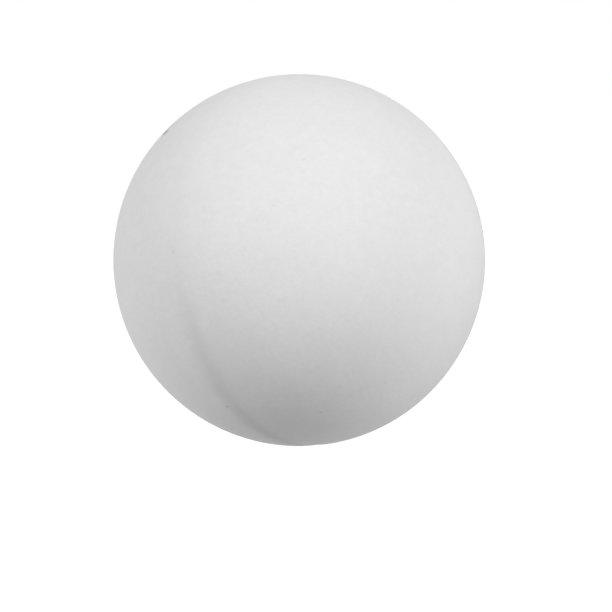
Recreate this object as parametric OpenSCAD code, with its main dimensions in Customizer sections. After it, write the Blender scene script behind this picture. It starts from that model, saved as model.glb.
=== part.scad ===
// Table tennis ball: a hollow sphere made of two moulded half shells.
//
// The left half carries a thin inner lip, which reaches under the plain rim of
// the right half. A film of adhesive bonds the two along this lap joint, fills
// the narrow gap between the rims and ends in a fillet past the lip.
//
// The origin is the centre of the ball. The seam lies in the YZ plane, +X is
// the common axis of the two halves, and +Z is up. Sizes are in millimetres.

/* [Ball] */
// Outer diameter of the ball
ball_d = 40; // [38:0.5:44]
// Thickness of the wall of each half shell
wall_t = 0.5; // [0.4:0.05:0.7]

/* [Lap joint] */
// How far the left half's lip reaches past the seam, under the right half
lip_reach = 1.8; // [1.2:0.1:3]
// Thickness of the lip
lip_t = 0.4; // [0.3:0.05:0.6]
// Width of the thickened root that ties the lip to the left half's wall
root_w = 1; // [0.6:0.1:2]
// Width of the ramp from the left half's wall up to that root
ramp_w = 0.8; // [0.4:0.1:1.5]

/* [Adhesive] */
// Thickness of the film between the lip and the right half's wall
film_t = 0.06; // [0.04:0.01:0.1]
// Gap between the two rims, which the adhesive fills
rim_gap = 0.12; // [0.08:0.02:0.2]
// Width of the fillet squeezed out past the lip
fillet_w = 0.4; // [0.2:0.1:0.8]

/* [Seam groove] */
// Width of the groove's bank on the left half
left_bank_w = 1.6; // [0.8:0.1:2.4]
// Width of the groove's bank on the right half
right_bank_w = 1.2; // [0.8:0.1:2.4]
// Depth of the groove under the ball's surface
groove_depth = 0.06; // [0.03:0.01:0.12]

/* [Hidden] */
$fn = 180;

ball_r = ball_d / 2;
// inside of both walls, and the two faces of the lip
wall_in_r = ball_r - wall_t;
lip_out_r = wall_in_r - film_t;
lip_in_r = lip_out_r - lip_t;
// radius about X of the groove's floor
groove_floor_r = ball_r - groove_depth;
// every cutter runs this far past what it cuts
past = 1;

// Radius about the ball's axis of a sphere's slice at height h from the centre.
function slice_r(sphere_r, h) = sqrt(sphere_r * sphere_r - h * h);

// Turns a shape made about Z, with the right half upwards, so that the right half faces +X.
module about_x() {
    rotate([0, 90, 0])
        children();
}

// The part of a solid ball that lies between two heights.
module ball_slice(r, low, high) {
    intersection() {
        sphere(r);
        translate([0, 0, low])
            cylinder(h = high - low, r = ball_r + past);
    }
}

// The shallow ring groove along the seam, as the body that it takes away.
module groove() {
    rotate_extrude()
        polygon([
            [slice_r(ball_r, left_bank_w), -left_bank_w],
            [groove_floor_r, 0],
            [slice_r(ball_r, right_bank_w), right_bank_w],
            [ball_r + past, right_bank_w],
            [ball_r + past, -left_bank_w],
        ]);
}

// The ramp of the hollow, from the wall's inside in to the lip's inside.
module root_ramp() {
    low = -root_w - ramp_w;
    translate([0, 0, low])
        cylinder(h = ramp_w, r1 = slice_r(wall_in_r, low), r2 = slice_r(lip_in_r, -root_w));
}

module left_half_shell() {
    color("white")
        about_x()
            difference() {
                union() {
                    ball_slice(ball_r, -ball_r - past, -rim_gap / 2);
                    ball_slice(lip_out_r, -root_w, lip_reach);
                }
                ball_slice(wall_in_r, -ball_r - past, -root_w - ramp_w);
                root_ramp();
                ball_slice(lip_in_r, -root_w, lip_reach + past);
                groove();
            }
}

module right_half_shell() {
    color("white")
        about_x()
            difference() {
                ball_slice(ball_r, rim_gap / 2, ball_r + past);
                sphere(wall_in_r);
                groove();
            }
}

module seam_adhesive() {
    fillet_end = lip_reach + fillet_w;
    lip_middle_r = (lip_out_r + lip_in_r) / 2;
    color("gainsboro")
        about_x()
            difference() {
                union() {
                    ball_slice(wall_in_r, -rim_gap / 2, fillet_end);
                    translate([0, 0, -rim_gap / 2])
                        cylinder(h = rim_gap, r = groove_floor_r);
                }
                ball_slice(lip_out_r, -rim_gap / 2 - past, lip_reach);
                translate([0, 0, lip_reach])
                    cylinder(
                        h = fillet_w,
                        r1 = slice_r(lip_middle_r, lip_reach),
                        r2 = slice_r(wall_in_r, fillet_end)
                    );
            }
}

left_half_shell();
right_half_shell();
seam_adhesive();
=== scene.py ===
"""A matt white table tennis ball of two bonded half shells, resting on a plain white floor."""

import math

import bmesh
import bpy
from mathutils import Matrix, Vector, noise


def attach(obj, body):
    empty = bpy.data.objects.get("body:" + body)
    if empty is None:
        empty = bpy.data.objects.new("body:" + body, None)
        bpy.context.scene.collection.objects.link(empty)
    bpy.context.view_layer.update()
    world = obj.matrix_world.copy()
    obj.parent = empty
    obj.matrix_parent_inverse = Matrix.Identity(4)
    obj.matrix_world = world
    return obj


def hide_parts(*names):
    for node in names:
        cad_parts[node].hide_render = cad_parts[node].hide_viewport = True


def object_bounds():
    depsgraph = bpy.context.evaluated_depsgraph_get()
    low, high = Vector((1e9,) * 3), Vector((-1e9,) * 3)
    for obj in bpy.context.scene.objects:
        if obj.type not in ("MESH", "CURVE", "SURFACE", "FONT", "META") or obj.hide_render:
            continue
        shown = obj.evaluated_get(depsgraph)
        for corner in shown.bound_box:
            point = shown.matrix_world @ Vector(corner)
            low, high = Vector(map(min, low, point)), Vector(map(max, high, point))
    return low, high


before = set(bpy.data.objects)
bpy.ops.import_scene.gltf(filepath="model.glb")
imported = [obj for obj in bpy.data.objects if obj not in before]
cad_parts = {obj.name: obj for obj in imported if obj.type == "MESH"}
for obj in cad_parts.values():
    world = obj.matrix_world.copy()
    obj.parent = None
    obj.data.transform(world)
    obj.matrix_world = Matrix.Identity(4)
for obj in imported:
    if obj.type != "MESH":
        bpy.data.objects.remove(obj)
CAD_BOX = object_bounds()

MM = 0.001

# ---------------------------------------------------------------- sizes, in millimetres
BALL_R = (CAD_BOX[1].x - CAD_BOX[0].x) / 2 / MM
WALL = 0.5
FILM = 0.06  # the adhesive between the lip and the other half's wall
LIP = 0.4  # the lip's thickness
LIP_REACH = 1.8  # past the middle of the seam
ROOT = 1.0  # how far the lip goes on inside its own half, at its full thickness
RAMP = 0.8  # and how far it then takes to run out into the wall
HALF_GAP = 0.06  # half the gap between the two rims
FILLET = 0.4  # how far the adhesive reaches past the lip
BOND = 0.015  # what keeps two bonded faces inside the wall from lying on each other
HAIR = 0.001  # the same between the rims and the bead, where it would show

WALL_IN_R = BALL_R - WALL
LIP_OUT_R = WALL_IN_R - FILM
LIP_IN_R = LIP_OUT_R - LIP

# the shallow groove along the seam
LEFT_BANK = 1.6
RIGHT_BANK = 1.2
GROOVE_DEPTH = 0.06
# The stretches of the ring where the seam shows, in the groove's depth and in the painted shade over it. Each
# has its middle's angle about X, from +Y towards +Z, how far it goes on at full strength to either side,
# where it has faded, and its strength.
SEAM_STRETCHES = ((245, 15, 95, 1.0), (30, 20, 75, 0.6))
SEAM_TRACE = 0.06  # what is left of it elsewhere

# small bevels and offsets at the edges
LIP_BEVEL = 0.05  # along X, at both edges of the lip's end
LIP_END_TOP = LIP_OUT_R - 0.13  # between these two the lip's end is flat
LIP_END_FOOT = LIP_IN_R - 0.03
RIM_BEVEL = 0.04  # at the inner edge of the right half's rim
RIM_FOOT = HALF_GAP + 0.02  # from where the rings on the inside of that half's wall are counted
GROOVE_R = BALL_R - GROOVE_DEPTH  # the groove's bottom, where the rims' faces start
BEAD_STEP = 0.01  # between the bead's outer face and the last ring on its left side
FILM_HEEL = 0.05  # between the bead's left side and the inner face of the film
FILM_TOE = 0.16  # past the lip's end, from where that face's rings are counted, so that one lies at it
# the fillet's hollow front: a share of its reach, and how far it lies above its middle line
FILLET_CURVE = ((0.6, 0.05), (0.25, -0.04))

# how far the ball departs from a true sphere, and how quickly that changes over it
OUT_OF_ROUND = 0.025
LUMP_RATE = 1.4
LUMP_SHIFT = Vector((7, 3, 5))  # takes another part of the noise than the seam's wander

# ---------------------------------------------------------------- how finely the meshes are made
SIDES = 320  # of a ring round the ball's axis, a multiple of four
GRID = SIDES // 4  # faces along each side of a pole's grid
FIRST_CORNER = -0.75 * math.pi  # the angle of a grid's first corner, where every ring starts
CAP_ANGLE = math.radians(60)  # how far the square grid at each pole reaches
SHARP_ANGLE = math.radians(30)
SEAM_ZONE = 2.4  # half the width of the zone with finer rings
BALL_RINGS = 22  # between a pole's grid and the seam's zone
ZONE_RINGS = 26  # outside, over one half of that zone
RIM_RINGS = 3  # across a rim, and over each side of the bead
LIP_TOP_RINGS = 10
LIP_RINGS = 12  # under the lip, and over the inner face of the film
WALL_RINGS = 14  # under the right half's wall near the seam, and over the outer face of the film
RAMP_RINGS = (0.1, 0.5, 0.9)  # as shares of the ramp
RAMP_END_RINGS = 2  # between the ramp and the zone's end

# how far the seam wanders to the left and right, how quickly, and how far beside it this is felt
WAVER = 0.04
WAVER_RATE = 2.5
WAVER_REACH = 3 * SEAM_ZONE

# ---------------------------------------------------------------- looks
SHELL_COLOUR = (0.86, 0.86, 0.86)
SHELL_ROUGHNESS = 0.8
SHELL_SPECULAR = 0.2
SHELL_MOTTLING = (0.2, 0.45, 1.1, 2.8)  # the sizes of its grain, pits, cloudiness and drift
SHELL_SEED = 1

GLUE_COLOUR = (0.85, 0.85, 0.84)
GLUE_ROUGHNESS = 0.7
GLUE_SPECULAR = 0.3
GLUE_MOTTLING = (0.15, 0.6)  # the sizes of its grain and pits
GLUE_SEED = 5

SEAM_PAINTED_SHADE = 0.1  # painted shade: the share of light taken off the colour right over the seam, where less light comes out of the doubled wall
SEAM_SHADE_W = 1.7  # how far to either side that reaches
SEAM_PAINTED_GLOW = 0.024  # painted glow: the share added to the colour on the left half, where its wall is single again
SEAM_PAINTED_GLOW_X = -2.5
SEAM_PAINTED_GLOW_W = 2.0
SEAM_SMUDGE = 0.7  # how unevenly the painted shade's edges run
SMUDGE_SIZE = 2.5
SMUDGE_SEED = 9

# The shell's worn spots: direction from the ball's centre, size, the share of light lost, and the
# way and how many times the spot is drawn out.
LEVEL = (0.78, 0.57, -0.24)  # level in the picture, as most of the specks are
MARKS = (
    ((-0.34, -0.42, 0.84), 1.0, 0.50, (-0.69, 0.72, 0.09), 2),  # the scuff
    ((-0.31, -0.39, 0.87), 1.2, 0.12, (0.66, 0.56, 0.50), 2),  # its faint end
    ((-0.06, -0.81, -0.59), 0.40, 0.14, LEVEL, 1.6),
    ((0.36, -0.60, -0.72), 0.38, 0.15, LEVEL, 1),
    ((-0.02, -0.97, 0.26), 0.50, 0.05, (0.14, 0.21, 0.97), 1.2),
    ((0.61, -0.57, 0.55), 0.32, 0.06, LEVEL, 2),
    ((0.93, -0.25, 0.25), 0.35, 0.05, LEVEL, 1.8),
    ((0.52, -0.77, 0.37), 0.40, 0.04, LEVEL, 1.5),
    ((0.23, -0.97, 0.11), 0.42, 0.05, (0.71, 0.49, -0.51), 2.5),
)
MARK_SEED = 20
# as shares of a mark's size: how ragged its edge is and how coarsely, and from where to where it fades
MARK_RAGGED = 0.7
MARK_GRAIN = 0.7
MARK_CORE = 0.15
MARK_EDGE = 0.6

NOISE_DETAIL = 2.0
NOISE_STEP = 31.0  # along X, between the places where two seeds' noises are taken
NOISE_Y, NOISE_Z = 17.0, 5.0

WHITE = (1, 1, 1, 1)


# ---------------------------------------------------------------- the ball's fine shape
def smooth(t):
    t = min(max(t, 0.0), 1.0)
    return t * t * (3 - 2 * t)


def seam_strength(angle):
    """How plainly the seam shows at this angle about X, up to 1."""
    shown = SEAM_TRACE
    for middle, full, faded, strength in SEAM_STRETCHES:
        away = abs((math.degrees(angle) - middle + 180) % 360 - 180)
        shown += (strength - SEAM_TRACE) * (1 - smooth((away - full) / (faded - full)))
    return shown


def groove_at(x, angle):
    """How deep the surface lies under the ball's round at this distance from the seam."""
    bank = LEFT_BANK if x < 0 else RIGHT_BANK
    return GROOVE_DEPTH * seam_strength(angle) * (1 - smooth(abs(x) / bank))


def fine_shape(x, rho, angle):
    """Moves a point of the true shape: into the groove, along with the wandering seam, and out of round."""
    if math.hypot(x, rho) > BALL_R - HAIR:
        rho -= groove_at(x, angle)
    turn = Vector((math.cos(angle), math.sin(angle), 0.0))
    near = 1 - smooth(abs(x) / WAVER_REACH)
    x += WAVER * near * noise.noise(turn * WAVER_RATE)
    direction = Vector((x, rho * turn.x, rho * turn.y)).normalized()
    grow = 1 + OUT_OF_ROUND / BALL_R * noise.noise(direction * LUMP_RATE + LUMP_SHIFT)
    return x * grow, rho * grow


# ---------------------------------------------------------------- mesh building
def ring_angle(k):
    """The angle of a ring's point k about the X axis."""
    return 2 * math.pi * k / SIDES + FIRST_CORNER


def grid_direction(i, j):
    """Polar distance, 0 to 1, and angle of a grid point: a square wrapped evenly onto a disc."""
    a, b = 2 * i / GRID - 1, 2 * j / GRID - 1
    if a == 0 and b == 0:
        return 0.0, 0.0
    if abs(a) > abs(b):
        angle = math.pi / 4 * (b / a) + (math.pi if a < 0 else 0)
        return abs(a), angle
    angle = math.pi / 2 - math.pi / 4 * (a / b) + (math.pi if b < 0 else 0)
    return abs(b), angle


def add_object(name, data):
    made = bpy.data.objects.new(name, data)
    bpy.context.scene.collection.objects.link(made)
    return made


class Lathe:
    """A closed mesh made of rings about the X axis and square grids over its poles."""

    def __init__(self):
        self.verts = []
        self.faces = []

    def point(self, x, rho, angle):
        x, rho = fine_shape(x, rho, angle)
        self.verts.append((x * MM, rho * math.cos(angle) * MM, rho * math.sin(angle) * MM))
        return len(self.verts) - 1

    def ring(self, x, rho):
        return [self.point(x, rho, ring_angle(k)) for k in range(SIDES)]

    def join(self, one, two):
        for k in range(SIDES):
            m = (k + 1) % SIDES
            self.faces.append((one[k], one[m], two[m], two[k]))

    def cap(self, radius, side):
        """The grid over a pole, on a sphere, and its outer edge as a ring. side is -1 or +1 along X."""
        ids = {}
        for i in range(GRID + 1):
            for j in range(GRID + 1):
                far, angle = grid_direction(i, j)
                polar = far * CAP_ANGLE
                ids[i, j] = self.point(side * radius * math.cos(polar), radius * math.sin(polar), angle)
        for i in range(GRID):
            for j in range(GRID):
                self.faces.append((ids[i, j], ids[i + 1, j], ids[i + 1, j + 1], ids[i, j + 1]))
        edge = [ids[i, 0] for i in range(GRID)] + [ids[GRID, j] for j in range(GRID)]
        edge += [ids[i, GRID] for i in range(GRID, 0, -1)] + [ids[0, j] for j in range(GRID, 0, -1)]
        return edge

    def make(self, name, node, material):
        """The finished piece: faces outwards, smooth but for its true edges, standing for a CAD node."""
        mesh = bpy.data.meshes.new(name)
        mesh.from_pydata(self.verts, [], self.faces)
        bm = bmesh.new()
        bm.from_mesh(mesh)
        bmesh.ops.recalc_face_normals(bm, faces=bm.faces)
        bm.to_mesh(mesh)
        bm.free()
        mesh.shade_smooth()
        mesh.set_sharp_from_angle(angle=SHARP_ANGLE)
        mesh.materials.append(material)
        piece = add_object(name, mesh)
        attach(piece, "root")
        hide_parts(node)
        return piece


def steps(start, end, count):
    """Even steps from start, left out, to end."""
    return [start + (end - start) * k / count for k in range(1, count + 1)]


def on_sphere(radius, xs):
    """(x, rho) of rings on a sphere at these distances from the seam."""
    return [(x, math.sqrt(radius * radius - x * x)) for x in xs]


def by_angle(radius, side, polars):
    """(x, rho) of rings on a sphere at these angles from its pole."""
    return [(side * radius * math.cos(p), radius * math.sin(p)) for p in polars]


def across(x, start, end):
    """(x, rho) of rings on a rim's face, which stands square to X."""
    return [(x, rho) for rho in steps(start, end, RIM_RINGS)]


# ---------------------------------------------------------------- the pieces
def half_shell(name, side, edge_rings, node, material):
    """A moulded cup with its pole at this side of X. edge_rings lead round its rim from outside to inside."""
    lathe = Lathe()
    last = lathe.cap(BALL_R, side)
    outer_end = math.acos(SEAM_ZONE / BALL_R)
    inner_start = math.acos(SEAM_ZONE / WALL_IN_R)
    rings = by_angle(BALL_R, side, steps(CAP_ANGLE, outer_end, BALL_RINGS))
    rings += edge_rings
    rings += by_angle(WALL_IN_R, side, steps(inner_start, CAP_ANGLE, BALL_RINGS)[:-1])
    for x, rho in rings:
        ring = lathe.ring(x, rho)
        lathe.join(last, ring)
        last = ring
    lathe.join(last, lathe.cap(WALL_IN_R, side))
    return lathe.make(name, node, material)


def left_edge():
    """The rim, the lip that reaches past it under the other half, the lip's root and its ramp."""
    rings = on_sphere(BALL_R, steps(-SEAM_ZONE, -HALF_GAP, ZONE_RINGS))
    rings += across(-HALF_GAP, GROOVE_R, LIP_OUT_R)
    rings += on_sphere(LIP_OUT_R, steps(-HALF_GAP, LIP_REACH - LIP_BEVEL, LIP_TOP_RINGS))
    rings += [(LIP_REACH, LIP_END_TOP), (LIP_REACH, LIP_END_FOOT)]
    rings += on_sphere(LIP_IN_R, steps(LIP_REACH - LIP_BEVEL, -ROOT, LIP_RINGS))
    _, root_rho = rings[-1]
    ramp_end = on_sphere(WALL_IN_R, [-ROOT - RAMP])[0]
    for t in RAMP_RINGS:
        rings.append((-ROOT - RAMP * t, root_rho + (ramp_end[1] - root_rho) * t))
    return rings + [ramp_end] + on_sphere(WALL_IN_R, steps(-ROOT - RAMP, -SEAM_ZONE, RAMP_END_RINGS))


def right_edge():
    """The plain rim that closes over the lip."""
    rings = on_sphere(BALL_R, steps(SEAM_ZONE, HALF_GAP, ZONE_RINGS))
    rings += across(HALF_GAP, GROOVE_R, WALL_IN_R + RIM_BEVEL)
    rings += on_sphere(WALL_IN_R, steps(RIM_FOOT, SEAM_ZONE, WALL_RINGS))
    return rings


def adhesive(material):
    """One ring: the bead between the rims, the film under the right half and the fillet past the lip."""
    side = HALF_GAP - HAIR
    film_out = WALL_IN_R - BOND
    film_in = LIP_OUT_R + BOND
    film_end = LIP_REACH + BOND
    fillet_end = LIP_REACH + FILLET
    rings = across(-side, film_in, GROOVE_R - BEAD_STEP)
    rings += on_sphere(BALL_R, [-side, 0.0, side])
    rings += across(side, GROOVE_R, film_out)
    rings += on_sphere(film_out, steps(side, fillet_end, WALL_RINGS))
    lip_middle = (LIP_OUT_R + LIP_IN_R) / 2
    middle_line = (on_sphere(film_out, [fillet_end])[0][1] + on_sphere(lip_middle, [LIP_REACH])[0][1]) / 2
    rings += [(LIP_REACH + share * FILLET, middle_line + above) for share, above in FILLET_CURVE]
    rings += on_sphere(lip_middle, [film_end])
    rings += on_sphere(film_in, steps(film_end + FILM_TOE, -side + FILM_HEEL, LIP_RINGS))
    lathe = Lathe()
    made = [lathe.ring(x, rho) for x, rho in rings]
    for one, two in zip(made, made[1:] + made[:1]):
        lathe.join(one, two)
    return lathe.make("seam_adhesive_bead", "seam_adhesive", material)


# ---------------------------------------------------------------- materials
class Recipe:
    """The nodes of one material, with a short call for each kind of step. Sizes are in millimetres."""

    def __init__(self, name):
        self.material = bpy.data.materials.new(name)
        self.material.use_nodes = True
        self.tree = self.material.node_tree
        self.surface = self.tree.nodes["Principled BSDF"]
        metres = self.node("ShaderNodeTexCoord").outputs["Object"]
        self.place = self.vector("SCALE", metres, scale=1 / MM)

    def node(self, kind, **settings):
        made = self.tree.nodes.new(kind)
        for key, value in settings.items():
            setattr(made, key, value)
        return made

    def feed(self, socket, value):
        """Links another node's output to this socket, or sets the socket to a constant."""
        if isinstance(value, bpy.types.NodeSocket):
            self.tree.links.new(value, socket)
        else:
            socket.default_value = value

    def math(self, operation, *values):
        made = self.node("ShaderNodeMath", operation=operation)
        for socket, value in zip(made.inputs, values):
            self.feed(socket, value)
        return made.outputs[0]

    def vector(self, operation, *values, scale=None):
        made = self.node("ShaderNodeVectorMath", operation=operation)
        for socket, value in zip(made.inputs, values):
            self.feed(socket, value)
        if scale is not None:
            self.feed(made.inputs["Scale"], scale)
        return made.outputs["Value" if operation == "LENGTH" else "Vector"]

    def noise(self, size, seed):
        """Soft noise from about -0.5 to 0.5 with grains of this size."""
        made = self.node("ShaderNodeTexNoise")
        shift = (NOISE_STEP * seed, NOISE_Y, NOISE_Z)
        self.feed(made.inputs["Vector"], self.vector("ADD", self.place, shift))
        self.feed(made.inputs["Scale"], 1 / size)
        self.feed(made.inputs["Detail"], NOISE_DETAIL)
        return self.math("SUBTRACT", made.outputs[0], 0.5)

    def mottling(self, sizes, first_seed):
        return [self.noise(size, seed) for seed, size in enumerate(sizes, start=first_seed)]

    def fade(self, value, full, gone):
        """1 where value is below full, and smoothly down to 0 where it has reached gone."""
        made = self.node("ShaderNodeMapRange", interpolation_type="SMOOTHSTEP")
        for socket, number in zip(made.inputs, (value, full, gone, 1.0, 0.0)):
            self.feed(socket, number)
        return made.outputs[0]

    def add_up(self, start, *terms):
        """start plus each (amount, value) term's product."""
        total = start
        for amount, value in terms:
            total = self.math("MULTIPLY_ADD", value, amount, total)
        return total

    def painted_seam_shade(self):
        """Painted shade over the lap, where less light comes out of the doubled wall, and a painted glow
        beside it.
        """
        parts = self.node("ShaderNodeSeparateXYZ")
        self.feed(parts.inputs[0], self.place)
        x, y, z = parts.outputs
        angle = self.math("MULTIPLY", self.math("ARCTAN2", z, y), math.degrees(1))
        # how strongly the shade is painted at each angle round the ring
        shown = SEAM_TRACE
        for middle, full, faded, strength in SEAM_STRETCHES:
            turned = self.math("WRAP", self.math("SUBTRACT", angle, middle), 180.0, -180.0)
            near = self.fade(self.math("ABSOLUTE", turned), full, faded)
            shown = self.add_up(shown, (strength - SEAM_TRACE, near))
        smudged = self.add_up(x, (SEAM_SMUDGE, self.noise(SMUDGE_SIZE, SMUDGE_SEED)))
        painted_shade_over_lap = self.fade(self.math("ABSOLUTE", smudged), 0.0, SEAM_SHADE_W)
        beside = self.math("ABSOLUTE", self.math("SUBTRACT", smudged, SEAM_PAINTED_GLOW_X))
        glow = self.fade(beside, 0.0, SEAM_PAINTED_GLOW_W)
        # the painted shade taken off over the lap and the painted glow added beside it
        change = self.add_up(self.math("MULTIPLY", painted_shade_over_lap, -SEAM_PAINTED_SHADE), (SEAM_PAINTED_GLOW, glow))
        return self.math("MULTIPLY_ADD", change, shown, 1.0)

    def mark(self, tone, direction, size, darker, along, stretch, seed):
        """tone with one small worn spot on the ball's outside, drawn out one way and ragged at its edge."""
        centre = Vector(direction).normalized() * BALL_R
        offset = self.vector("SUBTRACT", self.place, tuple(centre))
        shorten = (1 / stretch - 1,) * 3
        offset = self.vector("MULTIPLY_ADD", self.vector("PROJECT", offset, along), shorten, offset)
        edge = self.noise(MARK_GRAIN * size, seed)
        ragged = self.add_up(self.vector("LENGTH", offset), (MARK_RAGGED * size, edge))
        spot = self.fade(ragged, MARK_CORE * size, MARK_EDGE * size)
        return self.math("MULTIPLY", tone, self.math("MULTIPLY_ADD", spot, -darker, 1.0))

    def colour(self, white, tone):
        self.feed(self.surface.inputs["Base Color"], self.vector("SCALE", white, scale=tone))

    def gloss(self, roughness, specular):
        self.feed(self.surface.inputs["Roughness"], roughness)
        self.feed(self.surface.inputs["Specular IOR Level"], specular)

    def bump(self, *layers):
        """Height from (millimetres, noise) layers, as the surface's normal."""
        made = self.node("ShaderNodeBump")
        self.feed(made.inputs["Strength"], 1.0)
        self.feed(made.inputs["Distance"], MM)
        self.feed(made.inputs["Height"], self.add_up(0.0, *layers))
        self.feed(self.surface.inputs["Normal"], made.outputs[0])


def shell_plastic():
    """Tumbled matt plastic: a fine grain, a faint cloudiness, a soft painted shade along the seam with a
    painted glow beside it, and a few worn marks.
    """
    r = Recipe("tumbled_plastic")
    grain, pits, cloud, drift = r.mottling(SHELL_MOTTLING, SHELL_SEED)
    tone = r.add_up(1.0, (0.055, grain), (0.065, pits), (0.05, cloud), (0.035, drift))
    # painted shade over the seam and painted glow beside it
    tone = r.math("MULTIPLY", tone, r.painted_seam_shade())
    for seed, mark in enumerate(MARKS, start=MARK_SEED):
        tone = r.mark(tone, *mark, seed)
    r.colour(SHELL_COLOUR, tone)
    r.gloss(r.add_up(SHELL_ROUGHNESS, (0.12, pits), (0.1, cloud)), SHELL_SPECULAR)
    r.bump((0.008, grain), (0.012, pits), (0.02, cloud))
    return r.material


def seam_glue():
    """The cured adhesive, sanded flush: nearly the shell's white, a little smoother."""
    r = Recipe("cured_adhesive")
    grain, pits = r.mottling(GLUE_MOTTLING, GLUE_SEED)
    tone = r.add_up(1.0, (0.03, grain), (0.03, pits))
    # the same painted shade over the seam, taken into the adhesive's colour
    r.colour(GLUE_COLOUR, r.math("MULTIPLY", tone, r.painted_seam_shade()))
    r.gloss(r.add_up(GLUE_ROUGHNESS, (0.15, pits)), GLUE_SPECULAR)
    r.bump((0.006, grain), (0.012, pits))
    return r.material


plastic = shell_plastic()
half_shell("left_half_shell_moulding", -1, left_edge(), "left_half_shell", plastic)
half_shell("right_half_shell_moulding", 1, right_edge(), "right_half_shell", plastic)
adhesive(seam_glue())

# ---------------------------------------------------------------- camera
AZIMUTH, ELEVATION, ROLL = (math.radians(a) for a in (37.3, 5.0, 13.9))
CAMERA_DISTANCE = 10 * BALL_R * MM
LENS, SENSOR = 108.9, 36  # in millimetres
SHIFT_X, SHIFT_Y = 0.0111, -0.0748  # put the ball above the picture's middle and a little to its left
CLIP_START = 0.01


def camera_turn():
    """The turn of the camera's axes: right, up and back towards the camera."""
    back = Vector((
        math.sin(AZIMUTH) * math.cos(ELEVATION),
        -math.cos(AZIMUTH) * math.cos(ELEVATION),
        math.sin(ELEVATION),
    ))
    level = (-back).to_track_quat("-Z", "Y").to_matrix().to_4x4()
    return level @ Matrix.Rotation(-ROLL, 4, "Z")


def look_from(name, data, turn, distance):
    """An object at this distance from the ball's centre, looking at it."""
    made = add_object(name, data)
    made.matrix_world = turn @ Matrix.Translation((0, 0, distance))
    return made


def make_camera():
    data = bpy.data.cameras.new("camera")
    data.sensor_width = SENSOR
    data.lens = LENS
    data.shift_x = SHIFT_X
    data.shift_y = SHIFT_Y
    data.clip_start = CLIP_START
    bpy.context.scene.camera = look_from("camera", data, camera_turn(), CAMERA_DISTANCE)


make_camera()

# ---------------------------------------------------------------- studio
LIGHT_DISTANCE = 0.6
SHELL_WHITE = SHELL_COLOUR[0]
AMBIENT = 0.2  # how bright the even light alone makes the ball

# Round softboxes: degrees to the right of the camera and above it, half the angle that the box
# spans as the ball sees it, and how bright it alone makes a facing patch of the ball.
SOFTBOXES = {
    "key_right": (45, 20, 15, 0.45),
    "fill_left": (-55, 20, 15, 0.42),
    "edge_right": (85, -5, 15, 0.13),
    "low_behind": (-165, -40, 40, 0.35),
    "high_behind": (175, 45, 25, 0.2),
}

FLOOR_R = 1.0
FLOOR_SIDES = 96
FLOOR_GLOW = 0.9
FLOOR_WHITE = 0.45
FLOOR_ROUGHNESS = 0.9


def make_softbox(name, right, above, half_angle, brightness):
    data = bpy.data.lights.new(name, "AREA")
    data.shape = "DISK"
    radius = LIGHT_DISTANCE * math.tan(math.radians(half_angle))
    data.size = 2 * radius
    radiance = brightness / SHELL_WHITE / math.sin(math.radians(half_angle)) ** 2
    data.energy = radiance * math.pi * math.pi * radius ** 2
    turn = camera_turn() @ Matrix.Rotation(math.radians(right), 4, "Y")
    turn = turn @ Matrix.Rotation(math.radians(-above), 4, "X")
    look_from(name, data, turn, LIGHT_DISTANCE).visible_camera = False


def choose(tree, chooser, shader, other, output):
    """Feeds output with shader, or with other where chooser is 1."""
    mix = tree.nodes.new("ShaderNodeMixShader")
    for source, socket in zip((chooser, shader, other), mix.inputs):
        tree.links.new(source, socket)
    tree.links.new(mix.outputs[0], output)


def make_surroundings():
    """White where the camera looks past the ball, and a soft even light on the ball itself."""
    world = bpy.data.worlds.new("studio")
    world.use_nodes = True
    tree = world.node_tree
    soft = tree.nodes["Background"]
    soft.inputs["Color"].default_value = WHITE
    soft.inputs["Strength"].default_value = AMBIENT / SHELL_WHITE
    white = tree.nodes.new("ShaderNodeBackground")
    white.inputs["Color"].default_value = WHITE
    seen = tree.nodes.new("ShaderNodeLightPath").outputs["Is Camera Ray"]
    choose(tree, seen, soft.outputs[0], white.outputs[0], tree.nodes["World Output"].inputs["Surface"])
    bpy.context.scene.world = world
    bpy.context.scene.view_settings.view_transform = "Standard"


def floor_material():
    """White with a glow, so that the ball's contact shadow stays faint, and clear from below."""
    material = bpy.data.materials.new("floor_white")
    material.use_nodes = True
    tree = material.node_tree
    surface = tree.nodes["Principled BSDF"]
    surface.inputs["Base Color"].default_value = (FLOOR_WHITE,) * 3 + (1,)
    surface.inputs["Roughness"].default_value = FLOOR_ROUGHNESS
    surface.inputs["Specular IOR Level"].default_value = 0.0
    surface.inputs["Emission Color"].default_value = WHITE
    surface.inputs["Emission Strength"].default_value = FLOOR_GLOW
    clear = tree.nodes.new("ShaderNodeBsdfTransparent")
    below = tree.nodes.new("ShaderNodeNewGeometry").outputs["Backfacing"]
    choose(tree, below, surface.outputs[0], clear.outputs[0], tree.nodes["Material Output"].inputs["Surface"])
    return material


def make_floor():
    """A disc under the ball. Only the camera sees it, so that it throws no light on the ball."""
    mesh = bpy.data.meshes.new("floor")
    turns = steps(0, 2 * math.pi, FLOOR_SIDES)
    rim = [(FLOOR_R * math.cos(a), FLOOR_R * math.sin(a), 0.0) for a in turns]
    mesh.from_pydata(rim, [], [tuple(range(len(rim)))])
    mesh.materials.append(floor_material())
    floor = add_object("floor", mesh)
    floor.location.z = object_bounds()[0].z
    for ray in ("diffuse", "glossy", "transmission", "shadow"):
        setattr(floor, "visible_" + ray, False)


make_floor()
make_surroundings()
for box, settings in SOFTBOXES.items():
    make_softbox(box, *settings)
